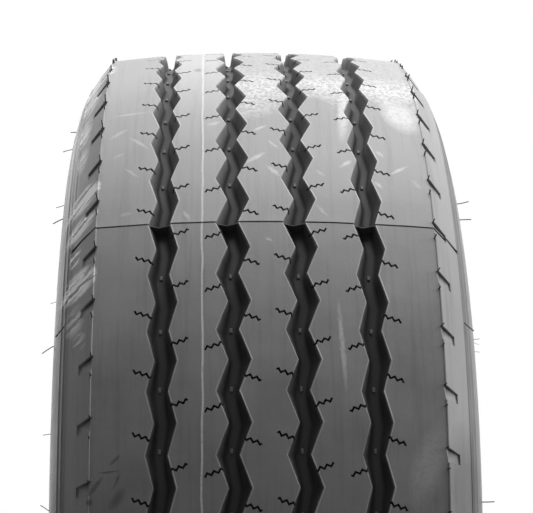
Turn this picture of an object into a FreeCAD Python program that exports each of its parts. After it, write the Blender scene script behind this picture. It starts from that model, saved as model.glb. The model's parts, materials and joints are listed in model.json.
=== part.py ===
# Wide-base truck tyre, moulded as one ring of rubber.
# The wheel axis runs along Y through the origin and the tyre stands upright, with Z up.
# The ring is made of flats, two to a tread pitch, so that every zigzag corner lies on an edge.
# Only the bead, which has to seat on a rim, is turned round.
import FreeCAD, Part
import math
import os

# Driving dimensions, in millimetres and degrees

# Envelope
OUTER_DIAMETER = 1124.0
SECTION_WIDTH = 425.0
WIDEST_DIAMETER = 880.0

# Tread and shoulder
TREAD_WIDTH = 336.0
CROWN_RADIUS = 1330.0
BUTTRESS_DROP = 33.7
WALL_BULGE = 19.6

# Bead, for a drop-centre rim with a tapered seat
RIM_WIDTH = 330.2
RIM_DIAMETER = 571.5
SEAT_TAPER = 15.0
SEAT_WIDTH = 35.0
TOE_LAND = 4.0
FLANGE_HEIGHT = 26.0
CUSHION_WIDTH = 346.0
CUSHION_DIAMETER = 664.0

# Wall thicknesses up to the inner liner
CROWN_THICKNESS = 32.0
SIDEWALL_THICKNESS = 15.5
FILLER_THICKNESS = 32.0

# Number of flats that stand for each curved stretch of the section
UPPER_WALL_COUNT = 2
LOWER_WALL_COUNT = 2
LINER_SHOULDER_COUNT = 2
LINER_WALL_COUNT = 1

# Zigzag grooves, two pairs that swing together
PITCHES = 58
FIRST_CORNER = 26.43
GROOVE_DEPTH = 17.0
INNER_GROOVE_OFFSET = 33.0
INNER_GROOVE_WIDTH = 22.2
INNER_GROOVE_SWING = 5.9
OUTER_GROOVE_OFFSET = 101.0
OUTER_GROOVE_WIDTH = 21.5
OUTER_GROOVE_SWING = 4.15
FLOOR_WIDTH = 10.5
FLOOR_SWING_SHARE = 0.55

# Shoulder notches, one to a pitch on each side
NOTCH_DEPTH = 2.2
NOTCH_LENGTH = 18.5
NOTCH_WIDTH = 14.0
NOTCH_END_WIDTH = 10.0
NOTCH_SLANT = 5.0

# How far a cutter runs on past the surface that it cuts
CUT_CLEARANCE = 4.0
# How far out of flat four corners may be and still make one face
FLATNESS = 1e-6

OUTER_RADIUS = OUTER_DIAMETER / 2
SEAT_RADIUS = RIM_DIAMETER / 2
SEAT_SLOPE = math.tan(math.radians(SEAT_TAPER))
TOE_RADIUS = SEAT_RADIUS - SEAT_WIDTH * SEAT_SLOPE
HALF_PITCH = math.pi / PITCHES
ORIGIN = FreeCAD.Vector(0, 0, 0)
WHEEL_AXIS = FreeCAD.Vector(0, 1, 0)


def around(y, r, angle):
    """A point at y along the axis and r away from it, with the angle from +X up towards +Z."""
    return FreeCAD.Vector(r * math.cos(angle), y, r * math.sin(angle))


def corner_angle(k):
    return math.radians(FIRST_CORNER) - k * HALF_PITCH


def crown_arc(y):
    """A point of the crown's arc, which is level with the middle rib where that rib ends."""
    fall = math.sqrt(CROWN_RADIUS ** 2 - INNER_GROOVE_OFFSET ** 2) - math.sqrt(CROWN_RADIUS ** 2 - y ** 2)
    return (y, OUTER_RADIUS - fall)


def crown(y):
    """Radius of the tread at y. Each rib is straight across, and the ribs join inside the grooves."""
    if abs(y) < inner_join[0]:
        return OUTER_RADIUS
    start, end = (inner_join, outer_join) if abs(y) < outer_join[0] else (outer_join, tread_edge)
    return start[1] + (abs(y) - start[0]) * (end[1] - start[1]) / (end[0] - start[0])


def upright_arc(widest, end, count):
    """Points of an arc that leaves its widest point parallel to the wheel's plane."""
    reach = widest[0] - end[0]
    rise = end[1] - widest[1]
    radius = (reach ** 2 + rise ** 2) / (2 * reach)
    turn = math.atan2(rise, radius - reach)
    angles = [turn * step / count for step in range(count + 1)]
    return [(widest[0] - radius * (1 - math.cos(angle)), widest[1] + radius * math.sin(angle))
            for angle in angles]


def both_sides(half):
    """A whole outline from its +Y half, which starts at the middle."""
    return half + [(-y, r) for y, r in half[::-1]]


def flat_face(*corners):
    return Part.Face(Part.makePolygon(list(corners) + [corners[0]]))


def ring(outline_at, step):
    """A closed ring of flat faces through the outlines at every step-th zigzag corner."""
    def corners(k):
        return [around(y, r, corner_angle(k)) for y, r in outline_at(k)]

    faces = []
    for k in range(0, 2 * PITCHES, step):
        near, far = corners(k), corners(k + step)
        if k % 2:
            near, far = far, near
        for i in range(len(near)):
            a, b, c, d = near[i - 1], far[i - 1], far[i], near[i]
            normal = (b - a).cross(d - a).normalize()
            if abs((c - a).dot(normal)) < FLATNESS:
                faces.append(flat_face(a, b, c, d))
            else:
                faces.append(flat_face(a, b, d))
                faces.append(flat_face(b, c, d))
    shell = Part.makeShell(faces)
    shell.sewShape()
    return Part.makeSolid(shell)


inner_join = crown_arc(INNER_GROOVE_OFFSET)
outer_join = crown_arc(OUTER_GROOVE_OFFSET)
tread_edge = crown_arc(TREAD_WIDTH / 2)
widest = (SECTION_WIDTH / 2, WIDEST_DIAMETER / 2)
crease = (widest[0] - WALL_BULGE, tread_edge[1] - BUTTRESS_DROP)
cushion = (CUSHION_WIDTH / 2, CUSHION_DIAMETER / 2)
bead_face = RIM_WIDTH / 2
toe = bead_face - SEAT_WIDTH
blank_bore = TOE_RADIUS - CUT_CLEARANCE


def groove(offset, width, swing, k):
    """Four points across a zigzag groove, which swings to -Y at even corners and to +Y at odd ones."""
    side = -1 if k % 2 == 0 else 1
    top = offset + side * swing
    low = offset + side * swing * FLOOR_SWING_SHARE
    floor = crown(offset) - GROOVE_DEPTH
    left, right = top - width / 2, top + width / 2
    return [(left, crown(left)), (low - FLOOR_WIDTH / 2, floor),
            (low + FLOOR_WIDTH / 2, floor), (right, crown(right))]


def mould_outline(k):
    """Outside of the tyre at zigzag corner k, closed by a bore that is still too small."""
    upper_wall = upright_arc(widest, crease, UPPER_WALL_COUNT)
    lower_wall = upright_arc(widest, cushion, LOWER_WALL_COUNT)
    flange = [(bead_face, SEAT_RADIUS + FLANGE_HEIGHT), (bead_face, blank_bore)]
    side = [tread_edge] + upper_wall[::-1] + lower_wall[1:] + flange
    tread = []
    for offset, width, swing in ((-OUTER_GROOVE_OFFSET, OUTER_GROOVE_WIDTH, OUTER_GROOVE_SWING),
                                 (-INNER_GROOVE_OFFSET, INNER_GROOVE_WIDTH, INNER_GROOVE_SWING),
                                 (INNER_GROOVE_OFFSET, INNER_GROOVE_WIDTH, INNER_GROOVE_SWING),
                                 (OUTER_GROOVE_OFFSET, OUTER_GROOVE_WIDTH, OUTER_GROOVE_SWING)):
        tread += groove(offset, width, swing, k)
    return tread + side + [(-y, r) for y, r in side[::-1]]


def liner_outline(k):
    """The air space: from the toe up the filler and the sidewall, and round into the crown."""
    liner_radius = OUTER_RADIUS - CROWN_THICKNESS
    wall = (widest[0] - SIDEWALL_THICKNESS, widest[1])
    filler = (cushion[0] - FILLER_THICKNESS, cushion[1])
    bend = liner_radius - wall[1]
    toe_end = (toe - TOE_LAND, TOE_RADIUS)
    shoulder = upright_arc(wall, (wall[0] - bend, liner_radius), LINER_SHOULDER_COUNT)
    side = upright_arc(wall, filler, LINER_WALL_COUNT)
    return both_sides(shoulder[::-1] + side[1:] + [toe_end, (toe_end[0], blank_bore - CUT_CLEARANCE)])


def rim_gauge():
    """The seats that the rim fits: two tapers and, between the toes, a level land."""
    overrun = bead_face + CUT_CLEARANCE
    half = [(toe, TOE_RADIUS), (overrun, SEAT_RADIUS + CUT_CLEARANCE * SEAT_SLOPE), (overrun, 0)]
    outline = [FreeCAD.Vector(0, y, r) for y, r in both_sides(half)]
    return flat_face(*outline).revolve(ORIGIN, WHEEL_AXIS, 360)


def notch_cutter(side, angle):
    """A slanted pocket in the buttress that opens through the tread edge."""
    edge = around(side * tread_edge[0], tread_edge[1], angle)
    outward = around(0, 1, angle)
    upward = around(0, 1, angle + math.pi / 2)
    flare = crease[0] - tread_edge[0]
    down = (WHEEL_AXIS * side * flare - outward * BUTTRESS_DROP).normalize()
    normal = (WHEEL_AXIS * side * BUTTRESS_DROP + outward * flare).normalize()
    overrun = (NOTCH_DEPTH + CUT_CLEARANCE) / NOTCH_LENGTH
    top, low = NOTCH_WIDTH / 2, -NOTCH_WIDTH / 2
    top_end = top - NOTCH_SLANT
    low_end = top_end - NOTCH_END_WIDTH
    corners = [(top_end, 1), (low_end, 1),
               (low + (low - low_end) * overrun, -overrun), (top + (top - top_end) * overrun, -overrun)]
    floor = [edge + upward * up + down * along * NOTCH_LENGTH - normal * NOTCH_DEPTH
             for up, along in corners]
    return flat_face(*floor).extrude(normal * (NOTCH_DEPTH + CUT_CLEARANCE))


cutters = [ring(liner_outline, 2), rim_gauge()]
for side, first in ((-1, 1), (1, 0)):
    # The notches sit where the shoulder rib is widest: at odd corners on -Y, at even ones on +Y
    for pitch in range(PITCHES):
        cutters.append(notch_cutter(side, corner_angle(first + 2 * pitch)))
blank = ring(mould_outline, 1).removeSplitter()
tyre = blank.cut(cutters).Solids[0]

os.makedirs("parts", exist_ok=True)
tyre.exportStep("parts/tyre.step")
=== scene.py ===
import json
import math
import random
import bmesh
import bpy
from mathutils import Matrix, Vector


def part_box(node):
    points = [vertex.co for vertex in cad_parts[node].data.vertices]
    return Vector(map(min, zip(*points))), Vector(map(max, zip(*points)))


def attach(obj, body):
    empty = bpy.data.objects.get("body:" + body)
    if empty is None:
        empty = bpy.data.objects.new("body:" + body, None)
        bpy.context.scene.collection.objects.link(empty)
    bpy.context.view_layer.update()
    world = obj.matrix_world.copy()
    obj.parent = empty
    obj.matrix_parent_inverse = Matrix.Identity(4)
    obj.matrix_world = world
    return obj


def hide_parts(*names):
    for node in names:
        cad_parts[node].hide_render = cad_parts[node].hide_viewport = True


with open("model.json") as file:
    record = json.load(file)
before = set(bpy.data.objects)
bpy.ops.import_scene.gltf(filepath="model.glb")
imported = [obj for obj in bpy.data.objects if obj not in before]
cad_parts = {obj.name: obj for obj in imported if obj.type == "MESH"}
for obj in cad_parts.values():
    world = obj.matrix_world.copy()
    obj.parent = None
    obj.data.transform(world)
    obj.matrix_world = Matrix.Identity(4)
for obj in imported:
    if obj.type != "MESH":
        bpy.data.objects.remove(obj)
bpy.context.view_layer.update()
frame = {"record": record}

# Section of the tyre
# The tyre is rubber over cords and bead wire, cured in a mould as one ring. This is its closed
# section: ribs and grooves, buttresses, sidewalls, tapered beads and the smooth liner inside.
MM = 0.001
TREAD_RADIUS = 562.0
CROWN_RADIUS = 1330.0
TREAD_EDGE = 168.0
RIB_EDGE_ROUND = 0.7
GROOVE_DEPTH = 17.0
FLOOR_WIDTH = 10.5
FLOOR_ROUND = 4.5
# Offset from the middle, width at the top and swing to each side of the inner and outer grooves
INNER_GROOVE = (33.0, 22.2, 5.9)
OUTER_GROOVE = (101.0, 21.5, 4.15)
# Places on two ribs where the section follows the crown
SECOND_RIB = 67.0
SHOULDER_RIB = 140.0
LIP_WIDTH = 1.0
LIP_HEIGHT = 0.65
BUTTRESS_END = (192.9, 518.1)
BUTTRESS_BULGE = 1.0
PARTING_RIDGE = 0.8
WIDEST = (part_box("tyre")[1].y / MM, 440.0)
UPPER_WALL_RADIUS = 165.0
UPPER_WALL_TURN = 28.2
LOWER_WALL_RADIUS = 170.0
LOWER_WALL_TURN = -40.3
# Fine mould lines that run round each sidewall, by their turn from the widest point
UPPER_LINES = (25.5, 22.0)
LOWER_LINES = (-12.0, -30.0, -33.0, -36.0)
LINE_HEIGHT = 0.5
LINE_TURN = 0.35
WALL_STEP = 4.5
BEAD_FACE = 165.1
BEAD_TOP = 321.7
BEAD_TOP_ROUND = 16.0
HEEL = 285.75
HEEL_ROUND = 8.0
TOE = 130.1
TOE_RADIUS = next(m["dims"]["r_mm"] for m in frame["record"]["mounts"] if m["name"] == "rim_bore")
TOE_LAND = 4.0
TOE_ROUND = 1.5
FILLER = (141.0, 332.0)
LINER_WALL = (197.0, 440.0)
LINER_SHOULDER = 90.0
LINER_STEPS = 6


def crown(y):
    return TREAD_RADIUS - y * y / (2 * CROWN_RADIUS)


def rounded(corners, steps=2):
    """A line through the corners (y, r, round), with an arc in each corner that has a round."""
    line = []
    for i, (y, r, size) in enumerate(corners):
        corner = Vector((y, r))
        if not size:
            line.append(corner)
            continue
        back = (Vector(corners[i - 1][:2]) - corner).normalized()
        on = (Vector(corners[i + 1][:2]) - corner).normalized()
        half = back.angle(on) / 2
        centre = corner + (back + on).normalized() * size / math.sin(half)
        start = corner + back * size / math.tan(half) - centre
        turn = math.pi - 2 * half
        side = 1 if back.x * on.y - back.y * on.x < 0 else -1
        for step in range(steps + 1):
            angle = side * turn * step / steps
            line.append(centre + Vector((start.x * math.cos(angle) - start.y * math.sin(angle),
                                         start.x * math.sin(angle) + start.y * math.cos(angle))))
    return line


def groove_corners(offset, width):
    floor = crown(offset) - GROOVE_DEPTH
    left, right = offset - width / 2, offset + width / 2
    return [(left, crown(left), RIB_EDGE_ROUND), (offset - FLOOR_WIDTH / 2, floor, FLOOR_ROUND),
            (offset + FLOOR_WIDTH / 2, floor, FLOOR_ROUND), (right, crown(right), RIB_EDGE_ROUND)]


def wall_arc(radius, end, lines):
    """The sidewall from its widest point to the turn end, with a fine raised line at each of lines."""
    steps = round(abs(end) / WALL_STEP)
    turns = [(end * step / steps, 0) for step in range(steps + 1)]
    for line in lines:
        turns = [t for t in turns if abs(t[0] - line) > 3 * LINE_TURN]
        turns += [(line - 2 * LINE_TURN, 0), (line - LINE_TURN, LINE_HEIGHT),
                  (line + LINE_TURN, LINE_HEIGHT), (line + 2 * LINE_TURN, 0)]
    centre = Vector((WIDEST[0] - radius, WIDEST[1]))
    return [centre + Vector((math.cos(math.radians(turn)), math.sin(math.radians(turn)))) * (radius + lift)
            for turn, lift in sorted(turns, key=lambda t: abs(t[0]))]


edge = Vector((TREAD_EDGE, crown(TREAD_EDGE)))
crease = Vector(BUTTRESS_END)
slope = (crease - edge).normalized()
face_out = Vector((-slope.y, slope.x))
lip = TREAD_EDGE - LIP_WIDTH
tread = [(0, crown(0), 0)] + groove_corners(*INNER_GROOVE[:2])
tread += [(SECOND_RIB, crown(SECOND_RIB), 0)] + groove_corners(*OUTER_GROOVE[:2])
tread += [(SHOULDER_RIB, crown(SHOULDER_RIB), 0), (lip - LIP_HEIGHT, crown(lip - LIP_HEIGHT), 0),
          (lip, crown(lip) + LIP_HEIGHT, 0), (edge.x, edge.y + LIP_HEIGHT, LIP_HEIGHT / 2)]
middle = (edge + crease) / 2 + face_out * BUTTRESS_BULGE
parting = [crease - slope * PARTING_RIDGE, crease + face_out * PARTING_RIDGE]
upper_wall = wall_arc(UPPER_WALL_RADIUS, UPPER_WALL_TURN, UPPER_LINES)[::-1]
lower_wall = wall_arc(LOWER_WALL_RADIUS, LOWER_WALL_TURN, LOWER_LINES)
bead = [(*lower_wall[-1], 0), (BEAD_FACE, BEAD_TOP, BEAD_TOP_ROUND), (BEAD_FACE, HEEL, HEEL_ROUND),
        (TOE, TOE_RADIUS, TOE_ROUND), (TOE - TOE_LAND, TOE_RADIUS, TOE_ROUND), (*FILLER, 0)]
reach, drop = LINER_WALL[0] - FILLER[0], LINER_WALL[1] - FILLER[1]
filler_radius = (reach ** 2 + drop ** 2) / (2 * reach)
filler_turn = math.atan2(drop, filler_radius - reach)
liner = [Vector((LINER_WALL[0] - filler_radius * (1 - math.cos(filler_turn * step / LINER_STEPS)),
                 LINER_WALL[1] - filler_radius * math.sin(filler_turn * step / LINER_STEPS)))
         for step in range(LINER_STEPS - 1, 0, -1)]
liner += [Vector((LINER_WALL[0] - LINER_SHOULDER * (1 - math.cos(math.pi / 2 * step / LINER_STEPS)),
                  LINER_WALL[1] + LINER_SHOULDER * math.sin(math.pi / 2 * step / LINER_STEPS)))
          for step in range(LINER_STEPS + 1)]
half_section = rounded(tread + [(*middle, 0)]) + parting + upper_wall + lower_wall[1:-1]
liner_top = LINER_WALL[1] + LINER_SHOULDER
half_section += rounded(bead) + liner + [Vector((0, liner_top))]
section = half_section + [Vector((-p.x, p.y)) for p in half_section[-2:0:-1]]

# One pitch of the tyre, laid out flat
# The tread pattern repeats all round, so one pitch is drawn out flat: the section is traced and
# pulled along the pitch, and its grooves swing to one side at each corner of their zigzag.
PITCHES = 58
PITCH = 2 * math.pi * TREAD_RADIUS / PITCHES
HALF_PITCH = PITCH / 2
# The pitch starts between two corners, where it cuts through no notch and no sipe
START = 0.735
STOPS = (1.0, 1.5, 2.0, 2.32, START + 2)
TOUCH = 0.1
FLOOR_SWING_SHARE = 0.55
GROOVES = [(side * offset, width, swing) for offset, width, swing in (INNER_GROOVE, OUTER_GROOVE)
           for side in (-1, 1)]


def flat(y, r, corner):
    """A place on the flat pitch: across, away from the axis, and along it in zigzag corners."""
    return Vector(((TREAD_RADIUS - r) * MM, y * MM, (corner - START) * HALF_PITCH * MM))


def swing_at(corner):
    """From -1 at an even corner to 1 at an odd one."""
    return 1 - 2 * abs(corner % 2 - 1)


def trace(name, points, close=False):
    """Draws edges from point to point, as one new object."""
    bpy.ops.object.select_all(action="DESELECT")
    bpy.ops.mesh.primitive_plane_add(size=MM, location=points[0])
    piece = bpy.context.object
    piece.name = name
    bpy.ops.object.mode_set(mode="EDIT")
    bpy.ops.mesh.select_mode(type="VERT")
    bpy.ops.mesh.select_all(action="SELECT")
    bpy.ops.mesh.merge(type="CENTER")
    for start, end in zip(points, points[1:]):
        bpy.ops.mesh.extrude_vertices_move(TRANSFORM_OT_translate={"value": end - start})
    bpy.ops.mesh.select_all(action="SELECT")
    if close:
        bpy.ops.mesh.edge_face_add()
    bpy.ops.object.mode_set(mode="OBJECT")
    bpy.ops.object.transform_apply(location=True, rotation=False, scale=False)
    return piece


def choose(piece, kind, test):
    """In edit mode, selects only the parts of that kind that pass the test."""
    bpy.ops.mesh.select_mode(type=kind)
    bpy.ops.mesh.select_all(action="DESELECT")
    mesh = bmesh.from_edit_mesh(piece.data)
    for part in {"VERT": mesh.verts, "EDGE": mesh.edges, "FACE": mesh.faces}[kind]:
        if test(part):
            part.select_set(True)
    mesh.select_flush_mode()
    bmesh.update_edit_mesh(piece.data)


def swing_grooves(piece, corner, before):
    """Moves the last traced column of each groove sideways, its floor less than its top."""
    along = flat(0, 0, corner).z
    step = swing_at(corner) - before
    for offset, width, swing in GROOVES:
        middle_height = (TREAD_RADIUS - crown(offset) + GROOVE_DEPTH / 2) * MM
        deepest = (TREAD_RADIUS - crown(offset) + GROOVE_DEPTH + 1) * MM
        for top, share in ((True, 1), (False, FLOOR_SWING_SHARE)):
            middle = (offset + before * swing * share) * MM
            bpy.ops.object.mode_set(mode="EDIT")
            choose(piece, "VERT", lambda v: abs(v.co.z - along) < TOUCH * MM and v.co.x < deepest
                   and (v.co.x < middle_height) == top and abs(v.co.y - middle) < (width / 2 + 2) * MM)
            bpy.ops.transform.translate(value=(0, step * swing * share * MM, 0))


plain_pitch = trace("plain_pitch", [flat(p.x, p.y, START) for p in section], close=True)
swing_grooves(plain_pitch, START, 0)
last = START
for stop in STOPS:
    here = flat(0, 0, last).z
    choose(plain_pitch, "FACE", lambda f: all(abs(v.co.z - here) < TOUCH * MM for v in f.verts))
    step = flat(0, 0, stop) - flat(0, 0, last)
    bpy.ops.mesh.extrude_region_move(TRANSFORM_OT_translate={"value": step})
    swing_grooves(plain_pitch, stop, swing_at(last))
    last = stop
bpy.ops.mesh.select_all(action="SELECT")
bpy.ops.mesh.normals_make_consistent(inside=False)
bpy.ops.object.mode_set(mode="OBJECT")

# Sipes
# Thin wavy cuts that steel blades in the mould leave in the edge of each rib, one to a pitch.
# One blade is drawn as a wavy sheet with a thickness, and copies of it cut the pitch.
SIPE_WAVE = 6.6
# Its first and last wave and its shift into the rib, on the outer and the inner side of a groove
SIPE_OUTER = (-0.75, 2.25, 1.9)
SIPE_INNER = (-0.5, 2.5, -0.8)
SIPE_SWING = 1.5
SIPE_WIDTH = 2.0
SIPE_DEPTH = 6.0
SIPE_SLOPE = math.radians(19)
# On the ribs with an even number the sipes are on the flank below an even corner, else above one
EVEN_RIB_CORNER = 2.46
ODD_RIB_CORNER = 1.5
ABOVE = 2.0


def modify(piece, kind, **settings):
    """Adds a modifier with these settings and applies it."""
    bpy.ops.object.select_all(action="DESELECT")
    piece.select_set(True)
    bpy.context.view_layer.objects.active = piece
    modifier = piece.modifiers.new(kind.lower(), kind)
    for name, value in settings.items():
        setattr(modifier, name, value)
    bpy.ops.object.modifier_apply(modifier=modifier.name)


def extrude_all(piece, kind, step):
    """Pulls everything that was traced by one step, as a sheet from edges or a block from a face."""
    bpy.ops.object.select_all(action="DESELECT")
    piece.select_set(True)
    bpy.context.view_layer.objects.active = piece
    bpy.ops.object.mode_set(mode="EDIT")
    bpy.ops.mesh.select_mode(type=kind)
    bpy.ops.mesh.select_all(action="SELECT")
    bpy.ops.mesh.extrude_region_move(TRANSFORM_OT_translate={"value": step})
    bpy.ops.mesh.select_all(action="SELECT")
    bpy.ops.mesh.normals_make_consistent(inside=False)
    bpy.ops.object.mode_set(mode="OBJECT")


def copy_of(piece, pose):
    """A copy with its own mesh, set down in this pose."""
    bpy.ops.object.select_all(action="DESELECT")
    piece.select_set(True)
    bpy.context.view_layer.objects.active = piece
    bpy.ops.object.duplicate()
    copy = bpy.context.object
    copy.matrix_world = pose
    bpy.ops.object.transform_apply(location=True, rotation=True, scale=True)
    return copy


def join(name, pieces):
    bpy.ops.object.select_all(action="DESELECT")
    for piece in pieces:
        piece.select_set(True)
    bpy.context.view_layer.objects.active = pieces[0]
    bpy.ops.object.join()
    pieces[0].name = name
    return pieces[0]


def remove(*pieces):
    bpy.ops.object.select_all(action="DESELECT")
    for piece in pieces:
        piece.select_set(True)
    bpy.ops.object.delete()


sipes = {}
for first, last, shift in (SIPE_OUTER, SIPE_INNER):
    for way in (-1, 1):
        quarters = range(round(4 * first), round(4 * last) + 1)
        wave = [Vector((-ABOVE, SIPE_WAVE * quarter / 4 + shift,
                        way * SIPE_SWING * math.sin(math.pi / 2 * quarter))) for quarter in quarters]
        sipe = trace("sipe", [point * MM for point in wave])
        extrude_all(sipe, "EDGE", Vector((ABOVE + SIPE_DEPTH, 0, 0)) * MM)
        modify(sipe, "SOLIDIFY", thickness=SIPE_WIDTH * MM, offset=0, use_even_offset=True)
        sipes[shift, way] = sipe
cutters = []
for rib, (offset, width, swing) in enumerate(sorted(GROOVES), 1):
    for side in (-1, 1):
        even = (rib if side < 0 else rib + 1) % 2 == 0
        corner = EVEN_RIB_CORNER if even else ODD_RIB_CORNER
        y = offset + side * width / 2 + swing_at(corner) * swing
        way = -1 if even else 1
        shift = (SIPE_OUTER if side * offset > 0 else SIPE_INNER)[2]
        pose = Matrix.Translation(flat(y, crown(y), corner))
        pose = pose @ Matrix.Rotation(way * SIPE_SLOPE + (math.pi if side < 0 else 0), 4, "X")
        cutters.append(copy_of(sipes[shift, way], pose))
remove(*sipes.values())

# Shoulder notches
# A slanted pocket in each buttress, moulded at every pitch where the shoulder rib is widest.
# Its floor is deepest under the upper edge and runs out towards the lower and outer ones.
NOTCH_LENGTH = 18.5
NOTCH_WIDTH = 14.0
NOTCH_END_WIDTH = 10.0
NOTCH_SLANT = 5.0
NOTCH_TOP_DEPTHS = (2.4, 1.3)
NOTCH_LOW_DEPTHS = (0.9, 0.4)
NOTCH_OVERRUN = 0.15
CLEAR_OF_FACE = 6.0


def on_buttress(side, corner, along, up, depth):
    """A place on a buttress: along it from the tread edge, up round the tyre, and below its face."""
    place = edge + slope * along - face_out * depth
    return flat(side * place.x, place.y, corner) - Vector((0, 0, up * MM))


for side, corner in ((-1, 1), (1, 2)):
    top, low = NOTCH_WIDTH / 2, -NOTCH_WIDTH / 2
    top_end = top - NOTCH_SLANT
    low_end = top_end - NOTCH_END_WIDTH
    outer = [(1, top_end, NOTCH_TOP_DEPTHS[1]), (1, low_end, NOTCH_LOW_DEPTHS[1])]
    inner = [(-NOTCH_OVERRUN, low + (low - low_end) * NOTCH_OVERRUN, NOTCH_LOW_DEPTHS[0]),
             (-NOTCH_OVERRUN, top + (top - top_end) * NOTCH_OVERRUN, NOTCH_TOP_DEPTHS[0])]
    notch = trace("notch", [on_buttress(side, corner, share * NOTCH_LENGTH, up, depth)
                            for share, up, depth in outer + inner], close=True)
    outwards = on_buttress(side, 0, 0, 0, -CLEAR_OF_FACE) - on_buttress(side, 0, 0, 0, 0)
    extrude_all(notch, "FACE", outwards)
    cutters.append(notch)
cuts = join("cuts", cutters)
modify(plain_pitch, "BOOLEAN", operation="DIFFERENCE", solver="EXACT", object=cuts)
remove(cuts)

# Stone ejectors
# Small blocks moulded on the floor of each groove, one to a pitch, which keep stones out.
EJECTOR = Vector((1.6, 3.2, 5.4))
EJECTOR_CORNER = 1.82
EJECTOR_ROUND = 0.7
SUNK = 1.0
adds = []
for offset, width, swing in GROOVES:
    y = offset + swing_at(EJECTOR_CORNER) * swing * FLOOR_SWING_SHARE
    floor = flat(y, crown(offset) - GROOVE_DEPTH, EJECTOR_CORNER)
    bpy.ops.object.select_all(action="DESELECT")
    bpy.ops.mesh.primitive_cube_add(size=1, location=floor + Vector((SUNK - EJECTOR.x, 0, 0)) / 2 * MM,
                                    scale=(EJECTOR + Vector((SUNK, 0, 0))) * MM)
    ejector = bpy.context.object
    bpy.ops.object.transform_apply(location=True, rotation=False, scale=True)
    modify(ejector, "BEVEL", width=EJECTOR_ROUND * MM, segments=1, limit_method="NONE")
    adds.append(ejector)
added = join("added", adds)
modify(plain_pitch, "BOOLEAN", operation="UNION", solver="EXACT", object=added)
remove(added)

# Mould joints
# The tread ring of the mould is in six segments. Where two meet, the rubber shows a fine split
# line over ribs and buttresses, and a thin web of flash stands in each groove.
SEGMENTS = (10, 9, 10, 9, 10, 10)
JOINT_CORNER = 2.0
JOINT_WIDTH = 1.9
JOINT_DEPTH = 2.4
JOINT_SLANT = 4.5
JOINT_SIDE_WIDTHS = (2.4, 5.0)
WEB_WIDTH = 0.7
WEB_EDGE_DROP = 2.6
WEB_MIDDLE_DROP = 6.5
JOINT_STEPS = 28

joint_pitch = copy_of(plain_pitch, Matrix())
joint_pitch.name = "joint_pitch"
across = [TREAD_EDGE * (2 * step / JOINT_STEPS - 1) for step in range(JOINT_STEPS + 1)]
split = trace("split", [flat(y, crown(y) - JOINT_DEPTH, JOINT_CORNER) for y in across])
extrude_all(split, "EDGE", Vector((-JOINT_DEPTH - ABOVE, 0, 0)) * MM)
modify(split, "SOLIDIFY", thickness=JOINT_WIDTH * MM, offset=0)
splits = [split]
length = (crease - edge).length
near, far = (width / 2 for width in JOINT_SIDE_WIDTHS)
wedge = [(-LIP_WIDTH, near), (length, far - JOINT_SLANT),
         (length, -far - JOINT_SLANT), (-LIP_WIDTH, -near)]
for side in (-1, 1):
    outline = [on_buttress(side, JOINT_CORNER, along, up, JOINT_DEPTH) for along, up in wedge]
    side_split = trace("side_split", outline, close=True)
    outwards = on_buttress(side, 0, 0, 0, -CLEAR_OF_FACE) - on_buttress(side, 0, 0, 0, 0)
    extrude_all(side_split, "FACE", outwards)
    splits.append(side_split)
for split in splits:
    modify(joint_pitch, "TRIANGULATE")
    modify(joint_pitch, "BOOLEAN", operation="DIFFERENCE", solver="EXACT", object=split)
    remove(split)
webs = []
for offset, width, swing in GROOVES:
    top = offset + swing_at(JOINT_CORNER) * swing
    low = offset + swing_at(JOINT_CORNER) * swing * FLOOR_SWING_SHARE
    floor = crown(offset) - GROOVE_DEPTH - SUNK
    web_line = [(top - width / 2, crown(offset) - WEB_EDGE_DROP), (top, crown(offset) - WEB_MIDDLE_DROP),
                (top + width / 2, crown(offset) - WEB_EDGE_DROP),
                (low + FLOOR_WIDTH / 2 + SUNK, floor), (low - FLOOR_WIDTH / 2 - SUNK, floor)]
    outline = [flat(y, r, JOINT_CORNER) - Vector((0, 0, WEB_WIDTH / 2)) * MM for y, r in web_line]
    web = trace("web", outline, close=True)
    extrude_all(web, "FACE", Vector((0, 0, WEB_WIDTH)) * MM)
    webs.append(web)
for web in webs:
    modify(joint_pitch, "TRIANGULATE")
    modify(joint_pitch, "BOOLEAN", operation="UNION", solver="EXACT", object=web)
    remove(web)

# The ring
# Pitches with a joint and plain ones are laid end to end round the whole tread, and the strip is
# rolled up about the wheel axis and closed.
FIRST_JOINT = math.radians(26.43)
MERGE = 0.01
SMOOTH_ANGLE = math.radians(38)
for piece in (plain_pitch, joint_pitch):
    bpy.ops.object.select_all(action="DESELECT")
    piece.select_set(True)
    bpy.context.view_layer.objects.active = piece
    bpy.ops.object.mode_set(mode="EDIT")
    ends = (0, PITCH * MM)
    choose(piece, "FACE", lambda f: abs(f.normal.z) > 0.99
           and min(abs(f.calc_center_median().z - end) for end in ends) < MERGE * MM)
    bpy.ops.mesh.delete(type="FACE")
    bpy.ops.mesh.select_all(action="SELECT")
    bpy.ops.mesh.quads_convert_to_tris(quad_method="BEAUTY", ngon_method="BEAUTY")
    bpy.ops.object.mode_set(mode="OBJECT")

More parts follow.
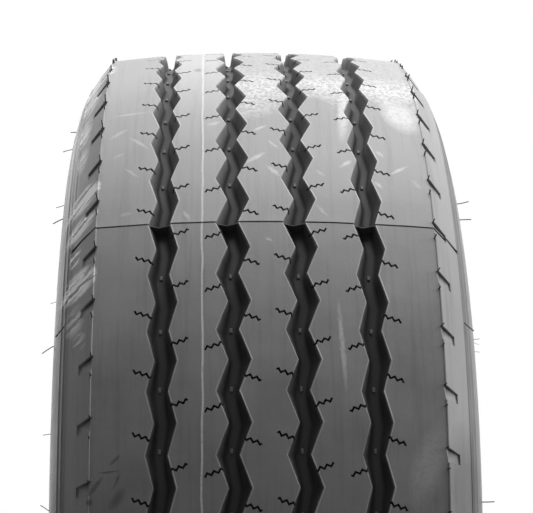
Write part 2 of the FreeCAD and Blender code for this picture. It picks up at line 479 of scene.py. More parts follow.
joint_along = flat(0, 0, JOINT_CORNER).z
along = TREAD_RADIUS * MM * (math.pi - FIRST_JOINT) - joint_along
strips = []
for count in SEGMENTS:
    strips.append(copy_of(joint_pitch, Matrix.Translation((0, 0, along))))
    row = copy_of(plain_pitch, Matrix.Translation((0, 0, along + PITCH * MM)))
    modify(row, "ARRAY", count=count - 1, use_relative_offset=False, use_constant_offset=True,
           constant_offset_displace=(0, 0, PITCH * MM))
    strips.append(row)
    along += count * PITCH * MM
remove(plain_pitch, joint_pitch)
tyre = join("tyre_rubber_ring", strips)
modify(tyre, "SIMPLE_DEFORM", deform_method="BEND", deform_axis="Y", angle=2 * math.pi)
bpy.ops.object.mode_set(mode="EDIT")
bpy.ops.mesh.select_all(action="SELECT")
bpy.ops.transform.translate(value=(-TREAD_RADIUS * MM, 0, 0))
bpy.ops.mesh.remove_doubles(threshold=MERGE * MM)
bpy.ops.mesh.normals_make_consistent(inside=False)
bpy.ops.object.mode_set(mode="OBJECT")
bpy.ops.object.shade_smooth_by_angle(angle=SMOOTH_ANGLE)
modify(tyre, "WEIGHTED_NORMAL", mode="FACE_AREA", weight=50, keep_sharp=True)
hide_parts("tyre")
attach(tyre, "root")


# Moulded rubber
# Black rubber, greyed by dust and release agent, with a satin gloss. The segments of the mould left it
# lighter or darker, and it carries scuffs, rubbed streaks and a painted line on one rib. Light and shade
# are also painted in its grooves and recesses, on its rib edges and ejectors, and on its upper ribs.
def linear(code):
    """A colour written in sRGB hex, as the linear colour that a shader takes."""
    parts = [int(code[i:i + 2], 16) / 255 for i in (1, 3, 5)]
    return tuple(c / 12.92 if c <= 0.04045 else ((c + 0.055) / 1.055) ** 2.4 for c in parts) + (1,)


def add(tree, kind, inputs=None, **options):
    """Adds a node with these options, and sets or links its inputs by name or number."""
    new = tree.nodes.new("ShaderNode" + kind)
    for name, value in options.items():
        setattr(new, name, value)
    for key, value in (inputs or {}).items():
        if isinstance(value, bpy.types.NodeSocket):
            tree.links.new(value, new.inputs[key])
        else:
            new.inputs[key].default_value = value
    return new.outputs


# Light scuffs on the ribs: angle, place across, length and width in millimetres, turn and strength
SCUFFS = [(45, -138, 42, 4, 84, 0.35), (41, -150, 30, 6, 47, 0.3), (39, -128, 36, 5, -41, 0.35),
          (37, -148, 16, 4, 58, 0.25), (34, -134, 24, 4, -42, 0.35), (28, -139, 14, 5, 75, 0.25),
          (27.5, -78, 15, 4, -31, 0.35), (42, -51, 18, 8, 68, 0.35), (41, -3, 21, 5, 53, 0.45),
          (35.7, -9, 29, 7, 49, 0.5), (38, 10, 20, 5, -33, 0.35), (33.6, 9, 24, 7, -40, 0.4),
          (35, 83, 19, 6, 49, 0.5), (33.4, 56, 16, 5, -47, 0.25), (28, 56, 24, 4, -35, 0.25),
          (34.5, 137, 27, 5, 51, 0.5), (37, 119, 15, 5, -33, 0.4), (32, 115, 14, 5, -39, 0.4),
          (32.5, 154, 18, 5, -34, 0.2), (24.2, 2, 9, 4, -57, 0.35), (12.5, 70, 105, 6, -3, 0.35),
          (44.5, 86, 125, 15, 5, 0.6), (45, 147, 85, 46, -14, 0.7), (0.5, 147, 100, 34, 18, 0.16)]
# Light streaks rubbed on to one buttress, in the same order
STROKES = [(61, -181, 85, 44, 0, 1.6), (54, -186, 75, 30, 0, 1.3), (46, -189, 75, 18, 0, 0.9),
           (40, -188, 50, 16, 0, 0.8), (32.2, -184, 36, 42, -22, 2.0), (28.3, -184, 28, 40, -22, 1.3),
           (24.8, -189, 34, 14, 0, 1.2), (20.6, -184, 38, 42, -22, 1.9), (16.5, -186, 40, 24, 0, 0.6),
           (13.9, -180, 24, 16, -22, 0.5)]
STROKE_LEAN = math.radians(-22)
STROKE_SIZE = (5.0, 32.0)
# Dark smudges, most of them low on the shoulders, in the same order
SMUDGES = [(-1.3, -161, 26, 6, 38, 0.6), (1.2, -143, 16, 5, 44, 0.6), (0.1, -148, 24, 3, 86, 0.6),
           (-0.8, -141, 18, 3, 22, 0.6), (-2.5, -141, 27, 12, 32, 0.5), (-2.8, -166, 9, 8, 0, 0.6),
           (57.0, -68, 18, 12, 0, 0.5), (-2, 184, 150, 50, 0, 0.4)]
MARK_EDGE = 0.6
SEGMENT_TONES = (0.0, 0.2, 0.05, 0.3, 0.1, 0.38)
# Centre and radius of a line half way between the outer wall and the liner
WALL_CENTRE = (56.0, 440.0)
WALL_RADIUS = 148.5
PAINT_LINE = -62.4
PAINT_WIDTH = 2.0
PAINT_WAVE = 45.5
PAINT_SWAY = 0.7
# Sizes of the patterns: clouds of dust, streaks along the ribs, specks, ragged edges, chalky streaks
CLOUD_SIZE = 71.4
STREAK_LENGTH = 143.0
STREAK_WIDTH = 6.25
SPECK_SIZE = 3.85
RAGGED_SIZE = 5.55
RAGGED_SWAY = 4.0
CHALK_LENGTH = 375.0
CHALK_WIDTH = 3.03

rubber = bpy.data.materials.new("moulded_rubber")
rubber.use_nodes = True
tree = rubber.node_tree
shader = tree.nodes["Principled BSDF"]
place = add(tree, "TexCoord")["Object"]
x, y, z = add(tree, "SeparateXYZ", {0: place})
level = add(tree, "VectorMath", {0: place, 1: (1, 0, 1)}, operation="MULTIPLY")[0]
radius = add(tree, "VectorMath", {0: level}, operation="LENGTH")["Value"]
angle = add(tree, "Math", {0: z, 1: x}, operation="ARCTAN2")[0]
rise = add(tree, "Math", {0: z, 1: radius}, operation="DIVIDE")[0]
rise = add(tree, "Math", {0: rise}, operation="ARCSINE")[0]
arc = add(tree, "Math", {0: angle, 1: TREAD_RADIUS * MM}, operation="MULTIPLY")[0]
square = add(tree, "Math", {0: y, 1: y}, operation="MULTIPLY")[0]
fall = add(tree, "Math", {0: square, 1: 0.5 / (CROWN_RADIUS * MM)}, operation="MULTIPLY")[0]
sunk = add(tree, "Math", {0: TREAD_RADIUS * MM, 1: fall}, operation="SUBTRACT")[0]
depth = add(tree, "Math", {0: sunk, 1: radius}, operation="SUBTRACT")[0]
aside = add(tree, "Math", {0: y}, operation="ABSOLUTE")[0]
on_tread = add(tree, "MapRange", {0: aside, 1: (TREAD_EDGE - 1.5) * MM, 2: (TREAD_EDGE - 0.5) * MM,
                                  3: 1.0, 4: 0.0})[0]
above_liner = add(tree, "MapRange", {0: radius, 1: (liner_top + 5) * MM, 2: (liner_top + 7) * MM,
                                     3: 0.0, 4: 1.0})[0]
on_tread = add(tree, "Math", {0: on_tread, 1: above_liner}, operation="MULTIPLY")[0]
on_top = add(tree, "MapRange", {0: depth, 1: 1.2 * MM, 2: 3 * MM, 3: 1.0, 4: 0.0})[0]
in_groove = add(tree, "MapRange", {0: depth, 1: 0.8 * MM, 2: 5 * MM, 3: 0.0, 4: 1.0})[0]
in_groove = add(tree, "Math", {0: in_groove, 1: on_tread}, operation="MULTIPLY")[0]

# Clouds of dust, fine streaks along the ribs and specks, all from the place on the tyre
clouds = add(tree, "TexNoise", {"Vector": place, "Scale": 1 / (CLOUD_SIZE * MM), "Detail": 4.0,
                                "Roughness": 0.6})[0]
stretch = [1 / (size * MM) for size in (STREAK_LENGTH, STREAK_WIDTH, STREAK_LENGTH)]
stretch = add(tree, "VectorMath", {0: place, 1: stretch}, operation="MULTIPLY")[0]
streaks = add(tree, "TexNoise", {"Vector": stretch, "Scale": 1.0, "Detail": 3.0, "Roughness": 0.6})[0]
specks = add(tree, "TexNoise", {"Vector": place, "Scale": 1 / (SPECK_SIZE * MM), "Detail": 3.0,
                                "Roughness": 0.65})[0]
ragged = add(tree, "TexNoise", {"Vector": place, "Scale": 1 / (RAGGED_SIZE * MM), "Detail": 2.0})["Color"]
wobble = add(tree, "VectorMath", {0: ragged, 1: (0.5, 0.5, 0.5)}, operation="SUBTRACT")[0]
wobble = add(tree, "VectorMath", {0: wobble, "Scale": RAGGED_SWAY * MM}, operation="SCALE")[0]
laid_flat = add(tree, "CombineXYZ", {0: arc, 1: y})[0]
laid_flat = add(tree, "VectorMath", {0: laid_flat, 1: wobble}, operation="ADD")[0]


def marks(table):
    """How strongly the soft marks of a table cover a place."""
    cover = 0.0
    for at, across, length, width, turn, strength in table:
        middle = (math.radians(at) * TREAD_RADIUS * MM, across * MM, 0)
        half_size = (length * MM / 2, width * MM / 2, 1)
        spot = add(tree, "Mapping", {"Vector": laid_flat, "Location": middle, "Scale": half_size,
                                     "Rotation": (0, 0, math.radians(turn))}, vector_type="TEXTURE")[0]
        oval = add(tree, "TexGradient", {0: spot}, gradient_type="SPHERICAL")[1]
        patch = add(tree, "MapRange", {0: oval, 1: 0.0, 2: MARK_EDGE, 3: 0.0, 4: strength})[0]
        cover = add(tree, "Math", {0: cover, 1: patch}, operation="MAXIMUM")[0]
    return cover


# The mould segments, told apart by the angle down from the first joint
down = add(tree, "Math", {0: FIRST_JOINT, 1: angle}, operation="SUBTRACT")[0]
slant = add(tree, "MapRange", {0: aside, 1: edge.x * MM, 2: crease.x * MM, 3: 0.0,
                               4: JOINT_SLANT / TREAD_RADIUS})[0]
share = add(tree, "Math", {0: down, 1: slant}, operation="SUBTRACT")[0]
share = add(tree, "Math", {0: share, 1: 2 * math.pi}, operation="DIVIDE")[0]
share = add(tree, "Math", {0: share}, operation="FRACT")[0]
segment = add(tree, "ValToRGB", {0: share})
ramp = tree.nodes[-1].color_ramp
ramp.interpolation = "CONSTANT"
ramp.elements.remove(ramp.elements[1])
before = 0
for count, tone in zip(SEGMENTS, SEGMENT_TONES):
    stop = ramp.elements[0] if before == 0 else ramp.elements.new(before / PITCHES)
    stop.color = (tone, tone, tone, 1)
    before += count
in_mould = add(tree, "MapRange", {0: radius, 1: (crease.y - 0.6) * MM, 2: (crease.y + 0.4) * MM,
                                  3: 0.0, 4: 1.0})[0]
segment = add(tree, "Math", {0: segment[0], 1: in_mould}, operation="MULTIPLY")[0]
fading = add(tree, "MapRange", {0: rise, 1: 0.45, 2: 0.7, 3: 0.5, 4: 1.0})[0]
segment = add(tree, "Math", {0: segment, 1: fading}, operation="MULTIPLY")[0]

# The rubber itself, dusty and streaked, with painted shade in its grooves, sipes, splits and notches, where
# the grooves also hold less dust
cloudy = add(tree, "MapRange", {0: clouds, 1: 0.3, 2: 0.7, 3: 0.0, 4: 0.35})[0]
streaky = add(tree, "MapRange", {0: streaks, 1: 0.5, 2: 0.8, 3: 0.0, 4: 0.35})[0]
colour = add(tree, "Mix", {0: cloudy, 6: linear("#676767"), 7: linear("#949494")}, data_type="RGBA")[2]
colour = add(tree, "Mix", {0: segment, 6: colour, 7: linear("#a4a4a4")}, data_type="RGBA")[2]
band = add(tree, "MapRange", {0: angle, 1: 0.15, 2: 0.33, 3: 0.0, 4: 0.2})[0]
for value, start, end in ((angle, 0.5, 0.45), (on_tread, 0.0, 1.0)):
    bound = add(tree, "MapRange", {0: value, 1: start, 2: end, 3: 0.0, 4: 1.0})[0]
    band = add(tree, "Math", {0: band, 1: bound}, operation="MULTIPLY")[0]
colour = add(tree, "Mix", {0: band, 6: colour, 7: linear("#a4a4a4")}, data_type="RGBA")[2]
on_side = add(tree, "MapRange", {0: on_tread, 1: 0.0, 2: 1.0, 3: 0.42, 4: 0.0})[0]
on_side = add(tree, "Math", {0: on_side, 1: in_mould}, operation="MULTIPLY")[0]
colour = add(tree, "Mix", {0: on_side, 6: colour, 7: linear("#a4a4a4")}, data_type="RGBA")[2]
colour = add(tree, "Mix", {0: streaky, 6: colour, 7: linear("#484848")}, data_type="RGBA")[2]
# Painted shade deep in the grooves, sipes and splits, which also hold less dust
colour = add(tree, "Mix", {0: in_groove, 6: colour, 7: linear("#141414")}, data_type="RGBA")[2]
# Painted shade in the notch pockets and side splits below the buttress face
across_up = add(tree, "CombineXYZ", {0: aside, 1: radius})[0]
outward = add(tree, "VectorMath", {0: across_up, 1: (*face_out, 0)}, operation="DOT_PRODUCT")["Value"]
face = edge.dot(face_out)
in_side = add(tree, "MapRange", {0: outward, 1: (face - 1.1) * MM, 2: (face - 2) * MM, 3: 0.0, 4: 0.9})[0]
for value, start, end in ((in_mould, 0.0, 1.0), (on_tread, 1.0, 0.0)):
    bound = add(tree, "MapRange", {0: value, 1: start, 2: end, 3: 0.0, 4: 1.0})[0]
    in_side = add(tree, "Math", {0: in_side, 1: bound}, operation="MULTIPLY")[0]
colour = add(tree, "Mix", {0: in_side, 6: colour, 7: linear("#1c1c1c")}, data_type="RGBA")[2]

# The grooves, the ejectors on their floors and the painted highlights along the rib edges beside them
corners = add(tree, "Math", {0: down, 1: TREAD_RADIUS / HALF_PITCH}, operation="MULTIPLY")[0]
zigzag = add(tree, "Math", {0: corners, 1: 1.0}, operation="PINGPONG")[0]
zigzag = add(tree, "MapRange", {0: zigzag, 1: 0.0, 2: 1.0, 3: -1.0, 4: 1.0})[0]
flank = add(tree, "Math", {0: corners, 1: 0.5}, operation="MULTIPLY")[0]
flank = add(tree, "Math", {0: flank}, operation="FRACT")[0]
upper = add(tree, "MapRange", {0: rise, 1: 0.3, 2: 0.6, 3: 0.1, 4: 1.0})[0]
left_rim = add(tree, "MapRange", {0: flank, 1: 0.48, 2: 0.52, 3: upper, 4: 0.1})[0]
right_rim = add(tree, "MapRange", {0: flank, 1: 0.48, 2: 0.52, 3: 1.0, 4: 0.45})[0]
edge_highlight = 0.0
within = 0.0
block = 0.0
for offset, width, swing in GROOVES:
    centre = add(tree, "Math", {0: zigzag, 1: swing * MM, 2: offset * MM}, operation="MULTIPLY_ADD")[0]
    off = add(tree, "Math", {0: y, 1: centre}, operation="SUBTRACT")[0]
    apart = add(tree, "Math", {0: off}, operation="ABSOLUTE")[0]
    inside = add(tree, "MapRange", {0: apart, 1: (width / 2 - 0.2) * MM, 2: (width / 2 + 0.4) * MM,
                                    3: 1.0, 4: 0.0})[0]
    within = add(tree, "Math", {0: within, 1: inside}, operation="MAXIMUM")[0]
    middle = (offset + swing_at(EJECTOR_CORNER) * swing * FLOOR_SWING_SHARE) * MM
    apart = add(tree, "Math", {0: y, 1: middle}, operation="SUBTRACT")[0]
    apart = add(tree, "Math", {0: apart}, operation="ABSOLUTE")[0]
    inside = add(tree, "MapRange", {0: apart, 1: 0.55 * EJECTOR.y * MM, 2: 0.75 * EJECTOR.y * MM,
                                    3: 1.0, 4: 0.0})[0]
    block = add(tree, "Math", {0: block, 1: inside}, operation="MAXIMUM")[0]
    for side, strength, rim in ((1, right_rim, 0.7), (-1, left_rim, 0.3)):
        beside = add(tree, "Math", {0: off, 1: side * (width / 2 + rim) * MM}, operation="SUBTRACT")[0]
        beside = add(tree, "Math", {0: beside}, operation="ABSOLUTE")[0]
        line = add(tree, "MapRange", {0: beside, 1: 0.3 * MM, 2: 0.9 * MM, 3: 1.0, 4: 0.0})[0]
        line = add(tree, "Math", {0: line, 1: strength}, operation="MULTIPLY")[0]
        edge_highlight = add(tree, "Math", {0: edge_highlight, 1: line}, operation="MAXIMUM")[0]
# Within the groove proper the painted shade is #424242, lighter than in the sipes and splits
in_zigzag = add(tree, "Math", {0: in_groove, 1: within}, operation="MULTIPLY")[0]
colour = add(tree, "Mix", {0: in_zigzag, 6: colour, 7: linear("#424242")}, data_type="RGBA")[2]
# Painted light on the groove walls and painted shade on the groove floors, stronger on the lighter segments
painted_wall_light = add(tree, "MapRange", {0: depth, 1: 13 * MM, 2: 16 * MM, 3: 0.9, 4: 0.0})[0]
painted_floor_shade = add(tree, "MapRange", {0: depth, 1: 13 * MM, 2: 16 * MM, 3: 0.0, 4: 1.2})[0]
for part, code in ((painted_wall_light, "#a0a0a0"), (painted_floor_shade, "#2a2a2a")):
    part = add(tree, "Math", {0: part, 1: segment}, operation="MULTIPLY")[0]
    part = add(tree, "Math", {0: part, 1: in_zigzag}, operation="MULTIPLY")[0]
    colour = add(tree, "Mix", {0: part, 6: colour, 7: linear(code)}, data_type="RGBA")[2]
turn = add(tree, "Math", {0: corners, 1: 0.5, 2: 0.5 - EJECTOR_CORNER / 2}, operation="MULTIPLY_ADD")[0]
turn = add(tree, "Math", {0: turn}, operation="FRACT")[0]
turn = add(tree, "Math", {0: turn, 1: 0.5}, operation="SUBTRACT")[0]
turn = add(tree, "Math", {0: turn}, operation="ABSOLUTE")[0]
for value, start, end in ((turn, 0.055, 0.045), (depth, 14.9 * MM, 15.3 * MM), (depth, 16.5 * MM, 16 * MM)):
    inside = add(tree, "MapRange", {0: value, 1: start, 2: end, 3: 0.0, 4: 1.0})[0]
    block = add(tree, "Math", {0: block, 1: inside}, operation="MULTIPLY")[0]
# Painted light on the ejector blocks standing on the groove floors
colour = add(tree, "Mix", {0: block, 6: colour, 7: linear("#7c7c7c")}, data_type="RGBA")[2]
# Painted highlights along the rib edges, patchy, varying with the flank of the zigzag and growing with
# height on the left edges
edge_highlight = add(tree, "Math", {0: edge_highlight, 1: on_top}, operation="MULTIPLY")[0]
patchy = add(tree, "MapRange", {0: clouds, 1: 0.4, 2: 0.62, 3: 0.3, 4: 0.75})[0]
edge_highlight = add(tree, "Math", {0: edge_highlight, 1: patchy}, operation="MULTIPLY")[0]
colour = add(tree, "Mix", {0: edge_highlight, 6: colour, 7: linear("#d0d0d0")}, data_type="RGBA")[2]

# Powder and painted glare on the upper ribs, growing with height and ending raggedly, and a smooth painted
# sheen beside it on the second rib.
# rise is the angle above the wheel centre in radians, the same at the front and at the back.
high = add(tree, "Math", {0: clouds, 1: 0.35, 2: rise}, operation="MULTIPLY_ADD")[0]
high = add(tree, "MapRange", {0: high, 1: 0.96, 2: 1.06, 3: 0.0, 4: 1.0})[0]
low = add(tree, "MapRange", {0: rise, 1: 0.9, 2: 0.98, 3: 1.0, 4: 0.35})[0]
grain = add(tree, "MapRange", {0: specks, 1: 0.42, 2: 0.55, 3: 0.15, 4: 0.7})[0]
powder_and_glare = add(tree, "Math", {0: high, 1: low}, operation="MULTIPLY")[0]
powder_and_glare = add(tree, "Math", {0: powder_and_glare, 1: grain}, operation="MULTIPLY")[0]
painted_sheen = add(tree, "MapRange", {0: rise, 1: 0.65, 2: 1.05, 3: 0.0, 4: 0.4})[0]
glare_by_side = add(tree, "MapRange", {0: y, 1: -50 * MM, 2: -35 * MM, 3: painted_sheen, 4: powder_and_glare})[0]
glare_across = add(tree, "MapRange", {0: y, 1: -100 * MM, 2: -85 * MM, 3: 0.2, 4: 1.0})[0]
powder_and_glare = add(tree, "Math", {0: glare_by_side, 1: glare_across}, operation="MULTIPLY")[0]
powder_and_glare = add(tree, "Math", {0: powder_and_glare, 1: on_top}, operation="MULTIPLY")[0]
colour = add(tree, "Mix", {0: powder_and_glare, 6: colour, 7: linear("#d8d8d8")}, data_type="RGBA")[2]

# Scuffs, rubbed streaks and smudges
scratchy = add(tree, "MapRange", {0: specks, 1: 0.3, 2: 0.55, 3: 0.5, 4: 1.0})[0]
scratchy = add(tree, "Math", {0: scratchy, 1: on_top}, operation="MULTIPLY")[0]
rubbed = add(tree, "Mapping", {"Vector": laid_flat, "Rotation": (0, 0, STROKE_LEAN),
                               "Scale": (*Vector(STROKE_SIZE) * MM, 1)}, vector_type="TEXTURE")[0]
rubbed = add(tree, "TexNoise", {"Vector": rubbed, "Scale": 1.0, "Detail": 2.0})[0]
near_tread = add(tree, "MapRange", {0: radius, 1: 470 * MM, 2: 490 * MM, 3: 0.0, 4: 1.0})[0]
rubbed = add(tree, "MapRange", {0: rubbed, 1: 0.42, 2: 0.53, 3: 0.0, 4: near_tread})[0]
for table, code, mask in ((SCUFFS, "#d2d2d2", scratchy), (STROKES, "#f2f2f2", rubbed),
                          (SMUDGES, "#262626", near_tread)):
    cover = add(tree, "Math", {0: marks(table), 1: mask}, operation="MULTIPLY")[0]
    colour = add(tree, "Mix", {0: cover, 6: colour, 7: linear(code)}, data_type="RGBA")[2]

# Long chalky streaks high on one sidewall
sweep = add(tree, "CombineXYZ", {0: arc, 1: radius})[0]
stretch = (1 / (CHALK_LENGTH * MM), 1 / (CHALK_WIDTH * MM), 1)
sweep = add(tree, "VectorMath", {0: sweep, 1: stretch}, operation="MULTIPLY")[0]
chalk = add(tree, "TexNoise", {"Vector": sweep, "Scale": 1.0, "Detail": 2.0})[0]
chalk = add(tree, "MapRange", {0: chalk, 1: 0.42, 2: 0.56, 3: 0.0, 4: 0.9})[0]
for value, start, end in ((y, -189 * MM, -192 * MM), (rise, 0.5, 0.62), (rise, 1.35, 1.15)):
    bound = add(tree, "MapRange", {0: value, 1: start, 2: end, 3: 0.0, 4: 1.0})[0]
    chalk = add(tree, "Math", {0: chalk, 1: bound}, operation="MULTIPLY")[0]
chalk = add(tree, "Math", {0: chalk, 1: near_tread}, operation="MULTIPLY")[0]
colour = add(tree, "Mix", {0: chalk, 6: colour, 7: linear("#ececec")}, data_type="RGBA")[2]

# The painted line on the second rib
sway = add(tree, "TexNoise", {"Vector": place, "Scale": 1 / (PAINT_WAVE * MM), "Detail": 1.0})[0]
sway = add(tree, "MapRange", {0: sway, 1: 0.3, 2: 0.7, 3: -PAINT_SWAY * MM, 4: PAINT_SWAY * MM})[0]
beside = add(tree, "Math", {0: y, 1: sway}, operation="ADD")[0]
beside = add(tree, "Math", {0: beside, 1: PAINT_LINE * MM}, operation="SUBTRACT")[0]
beside = add(tree, "Math", {0: beside}, operation="ABSOLUTE")[0]
paint = add(tree, "MapRange", {0: beside, 1: 0.35 * PAINT_WIDTH * MM, 2: 0.6 * PAINT_WIDTH * MM,
                               3: 1.0, 4: 0.0})[0]
paint = add(tree, "Math", {0: paint, 1: on_top}, operation="MULTIPLY")[0]
thin = add(tree, "MapRange", {0: specks, 1: 0.3, 2: 0.5, 3: 0.3, 4: 0.58})[0]
paint = add(tree, "Math", {0: paint, 1: thin}, operation="MULTIPLY")[0]
colour = add(tree, "Mix", {0: paint, 6: colour, 7: linear("#d4d4d4")}, data_type="RGBA")[2]

# The liner and the inner faces of the walls hold no dust
beyond = add(tree, "Math", {0: aside, 1: WALL_CENTRE[0] * MM}, operation="SUBTRACT")[0]
beyond = add(tree, "Math", {0: beyond, 1: 0.0}, operation="MAXIMUM")[0]
higher = add(tree, "Math", {0: radius, 1: WALL_CENTRE[1] * MM}, operation="SUBTRACT")[0]
apart = add(tree, "CombineXYZ", {0: beyond, 1: higher})[0]
apart = add(tree, "VectorMath", {0: apart}, operation="LENGTH")["Value"]
lining = add(tree, "MapRange", {0: apart, 1: (WALL_RADIUS - 1) * MM, 2: (WALL_RADIUS + 1) * MM,
                                3: 1.0, 4: 0.0})[0]
lining = add(tree, "MapRange", {0: above_liner, 1: 0.0, 2: 1.0, 3: lining, 4: 0.0})[0]
colour = add(tree, "Mix", {0: lining, 6: colour, 7: linear("#343434")}, data_type="RGBA")[2]

# Satin gloss on the lighter segments, less of it low on the tread, and next to none in the grooves
gloss = add(tree, "MapRange", {0: clouds, 1: 0.3, 2: 0.7, 3: 0.36, 4: 0.48})[0]
matt = add(tree, "MapRange", {0: in_mould, 1: 0.0, 2: 1.0, 3: 0.03, 4: 0.1})[0]
shine = add(tree, "MapRange", {0: segment, 1: 0.0, 2: 0.38, 3: 0.16, 4: 0.42})[0]
dull = add(tree, "MapRange", {0: in_groove, 1: 0.0, 2: 1.0, 3: on_tread, 4: 0.06})[0]
shine = add(tree, "Math", {0: shine, 1: dull, 2: matt}, operation="MULTIPLY_ADD")[0]
peel = add(tree, "Bump", {"Strength": 0.12, "Distance": 1 * MM, "Height": specks})[0]
tree.links.new(colour, shader.inputs["Base Color"])
tree.links.new(gloss, shader.inputs["Roughness"])
tree.links.new(shine, shader.inputs["Specular IOR Level"])
tree.links.new(peel, shader.inputs["Normal"])
shader.inputs["IOR"].default_value = 1.52
tyre.data.materials.clear()
tyre.data.materials.append(rubber)

# Vent nibs
# Short nibs of rubber that rose into the mould's vents beside each notch and were left on.
# One tapered rod of fresh black rubber, on which no dust holds, is copied round both tread edges.
NIB_RADIUS = 0.85
NIB_TIP = 0.6
# Share of its length that stands out of the rubber
NIB_STANDS = 0.9
NIB_LENGTHS = (8.0, 12.0)
# Side, place across, lean outwards, first notch in zigzag corners and share of the length
NIB_ROWS = [(-1, 167.2, 4, 1, 1.0), (1, 166.2, 10, 0, 0.7)]
# Round the top and the back, past this angle from the front, they are worn short
NIB_WORN_FROM = math.radians(56.6)
NIB_WORN = 0.5
NIB_SHIFTS = (-7.6, 12.9)
NIB_SPREAD = 4.0
random.seed(58)


def turned(angle):
    """A turn about the wheel axis, up from +X."""
    return Matrix.Rotation(-angle, 4, "Y")


bpy.ops.object.select_all(action="DESELECT")
bpy.ops.mesh.primitive_cone_add(vertices=6, radius1=NIB_RADIUS * MM, radius2=NIB_TIP * MM, depth=1,
                                location=(0, 0, NIB_STANDS - 0.5))
nib = bpy.context.object
bpy.ops.object.transform_apply(location=True, rotation=False, scale=False)
nibs = []
for side, across, lean, first, share in NIB_ROWS:
    for k in range(first, 2 * PITCHES, 2):
        for shift in NIB_SHIFTS:
            angle = FIRST_JOINT - (k * HALF_PITCH + shift) / TREAD_RADIUS
            length = share * random.uniform(*NIB_LENGTHS)
            if math.cos(angle) < math.cos(NIB_WORN_FROM):
                length *= NIB_WORN
            outward = math.radians(side * (lean + random.uniform(-NIB_SPREAD, NIB_SPREAD)))
            along = math.radians(90 + random.uniform(-NIB_SPREAD, NIB_SPREAD))
            pose = turned(angle) @ Matrix.Translation(Vector((crown(across), side * across, 0)) * MM)
            pose = pose @ Matrix.Rotation(outward, 4, "Z") @ Matrix.Rotation(along, 4, "Y")
            nibs.append(copy_of(nib, pose @ Matrix.Scale(length * MM, 4, (0, 0, 1))))
remove(nib)
vent_nibs = join("vent_nibs", nibs)
flash = bpy.data.materials.new("flash_rubber")
flash.use_nodes = True
shader = flash.node_tree.nodes["Principled BSDF"]
shader.inputs["Base Color"].default_value = linear("#2c2c2c")
shader.inputs["Roughness"].default_value = 0.5
vent_nibs.data.materials.clear()
vent_nibs.data.materials.append(flash)
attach(vent_nibs, "root")

# Vent hairs
# Whiskers of rubber from the mould's small vents, which stand out of both sidewalls.
# A thin curved rod of the same fresh rubber is copied to listed places and to others at random.
HAIR_RADIUS = 0.5
HAIR_LENGTH = 11.0
HAIR_BEND = 1.0
# The hairs on each side that stand at random: their number, first angle, span, turns, tilts and lengths
HAIRS_EACH_SIDE = 24
HAIR_START = 62
HAIR_SPAN = 282
HAIR_TURNS = (4, 20)
HAIR_TILTS = (-40, 30)
HAIR_LENGTHS = (6, 13)
# Side, angle round the tyre, turn up the wall from its widest point, tilt upwards and length
HAIRS = [(-1, 54.5, 12, -30, 12), (-1, 41, 8, -35, 9.5), (-1, 38, 8, -33, 12), (-1, 24, 6, -25, 6),
         (-1, 17, 25, -55, 14), (-1, 17.5, 6, -33, 14), (-1, 6, 5, -8, 7.5), (-1, -3.5, 5, 38, 10),
         (-1, -3.8, 5, -27, 7), (1, 39, 13, 12, 13), (1, 36, 12.5, 6, 12.5), (1, 17, 27.5, -52, 13),
         (1, 17.7, 9.5, 0, 6), (1, 17.2, 9.5, -19, 5), (1, 16, 9.5, 0, 5), (1, -2.7, 9, 0, 12)]
places = list(HAIRS)
for side in (-1, 1):
    for hair in range(HAIRS_EACH_SIDE):
        angle = HAIR_START + (hair + random.uniform(0.1, 0.9)) * HAIR_SPAN / HAIRS_EACH_SIDE
        places.append((side, angle, random.uniform(*HAIR_TURNS), random.uniform(*HAIR_TILTS),
                       random.uniform(*HAIR_LENGTHS)))

# The rod is one unit long, and each copy is scaled to its own length
bpy.ops.object.select_all(action="DESELECT")
bpy.ops.curve.primitive_bezier_curve_add()
rod = bpy.context.object
root_end, tip_end = rod.data.splines[0].bezier_points
root_end.co = (0, -0.1, 0)
root_end.handle_left = (0, -0.4, 0)
root_end.handle_right = (0, 0.3, 0)
tip_end.co = (0, 1, HAIR_BEND / HAIR_LENGTH)
tip_end.handle_left = (0, 0.7, 0.3 * HAIR_BEND / HAIR_LENGTH)
tip_end.handle_right = (0, 1.3, 2 * HAIR_BEND / HAIR_LENGTH)
rod.data.dimensions = "3D"
rod.data.resolution_u = 4
rod.data.bevel_depth = HAIR_RADIUS / HAIR_LENGTH
rod.data.bevel_resolution = 0
rod.data.use_fill_caps = True
bpy.ops.object.convert(target="MESH")
bpy.ops.object.mode_set(mode="EDIT")
bpy.ops.mesh.select_all(action="SELECT")
bpy.ops.mesh.remove_doubles(threshold=MERGE * MM)
bpy.ops.mesh.normals_make_consistent(inside=False)
bpy.ops.object.mode_set(mode="OBJECT")
hairs = []
for side, angle, turn, tilt, length in places:
    y = WIDEST[0] - UPPER_WALL_RADIUS * (1 - math.cos(math.radians(turn)))
    r = WIDEST[1] + UPPER_WALL_RADIUS * math.sin(math.radians(turn))
    lift = math.radians(tilt if side > 0 else 180 - tilt)
    pose = turned(math.radians(angle)) @ Matrix.Translation(Vector((r, side * y, 0)) * MM)
    pose = pose @ Matrix.Rotation(lift, 4, "X") @ Matrix.Rotation(random.uniform(0, 2 * math.pi), 4, "Y")
    hairs.append(copy_of(rod, pose @ Matrix.Scale(length * MM, 4)))
remove(rod)
vent_hairs = join("vent_hairs", hairs)
vent_hairs.data.materials.clear()
vent_hairs.data.materials.append(flash)
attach(vent_hairs, "root")

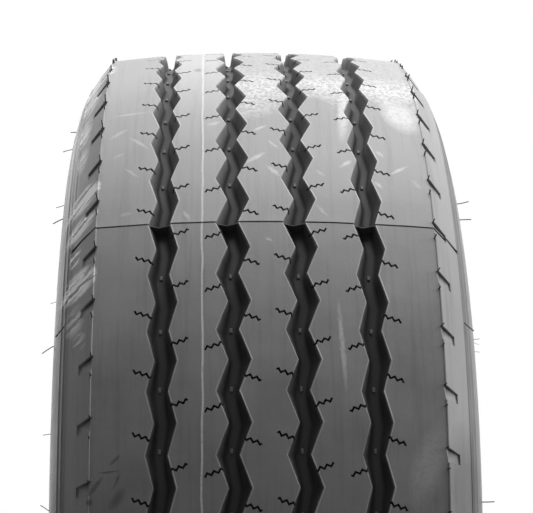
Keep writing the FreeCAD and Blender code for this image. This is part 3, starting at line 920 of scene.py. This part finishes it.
# Floor, light and camera
# A plain matt grey floor, soft lamps above and on all sides, and a white surrounding.
FLOOR_SIZE = 12.0
bpy.ops.object.select_all(action="DESELECT")
bpy.ops.mesh.primitive_plane_add(size=FLOOR_SIZE, location=(0, 0, -TREAD_RADIUS * MM))
floor = bpy.context.object
floor.name = "floor"
grey = bpy.data.materials.new("grey_floor")
grey.use_nodes = True
shader = grey.node_tree.nodes["Principled BSDF"]
shader.inputs["Base Color"].default_value = linear("#8c8c8c")
shader.inputs["Roughness"].default_value = 0.8
floor.data.materials.append(grey)

# Name, place, point that it faces, width, depth and power of each lamp
LAMPS = [("above", (-0.2, 0.0, 2.4), (0, 0, 0), 3.0, 2.4, 34),
         ("right", (0.7, 2.4, 1.5), (0, 0, 0), 2.0, 2.0, 92),
         ("front", (1.1, 0.3, 2.7), (0, 0, 0.2), 2.0, 1.4, 36),
         ("left", (-2.2, -1.6, 0.9), (0, 0, 0), 1.6, 1.6, 18),
         ("back", (-2.6, 0.8, 0.7), (0, 0, 0), 1.6, 1.2, 12)]
for name, at, facing, width, deep, power in LAMPS:
    lamp = bpy.data.lights.new(name, "AREA")
    lamp.shape = "RECTANGLE"
    lamp.size = width
    lamp.size_y = deep
    lamp.energy = power
    stand = bpy.data.objects.new(name, lamp)
    bpy.context.scene.collection.objects.link(stand)
    stand.location = at
    stand.rotation_euler = (Vector(facing) - Vector(at)).to_track_quat("-Z", "Y").to_euler()

AMBIENT = 0.08
world = bpy.data.worlds.new("studio")
world.use_nodes = True
bpy.context.scene.world = world
sky = world.node_tree
rays = add(sky, "LightPath")
seen = add(sky, "Math", {0: rays["Is Camera Ray"], 1: rays["Is Glossy Ray"]}, operation="MAXIMUM")[0]
seen = add(sky, "Math", {0: seen, 1: rays["Is Transmission Ray"]}, operation="MAXIMUM")[0]
strength = add(sky, "MapRange", {0: seen, 1: 0.0, 2: 1.0, 3: AMBIENT, 4: 1.0})[0]
sky.nodes["Background"].inputs["Color"].default_value = (1, 1, 1, 1)
sky.links.new(strength, sky.nodes["Background"].inputs["Strength"])

CAMERA_PLACE = Vector((2.1898, -0.0563, -0.1438))
CAMERA_AIM = Vector((0, 0.0171, 0.3220))
CAMERA_ROLL = -0.00722
CAMERA_LENS = 119.08
camera_data = bpy.data.cameras.new("camera")
camera_data.sensor_fit = "HORIZONTAL"
camera_data.sensor_width = 36
camera_data.lens = CAMERA_LENS
camera = bpy.data.objects.new("camera", camera_data)
bpy.context.scene.collection.objects.link(camera)
look = (CAMERA_AIM - CAMERA_PLACE).to_track_quat("-Z", "Y").to_matrix().to_4x4()
camera.matrix_world = Matrix.Translation(CAMERA_PLACE) @ look @ Matrix.Rotation(CAMERA_ROLL, 4, "Z")
bpy.context.scene.camera = camera
bpy.context.scene.view_settings.view_transform = "Standard"
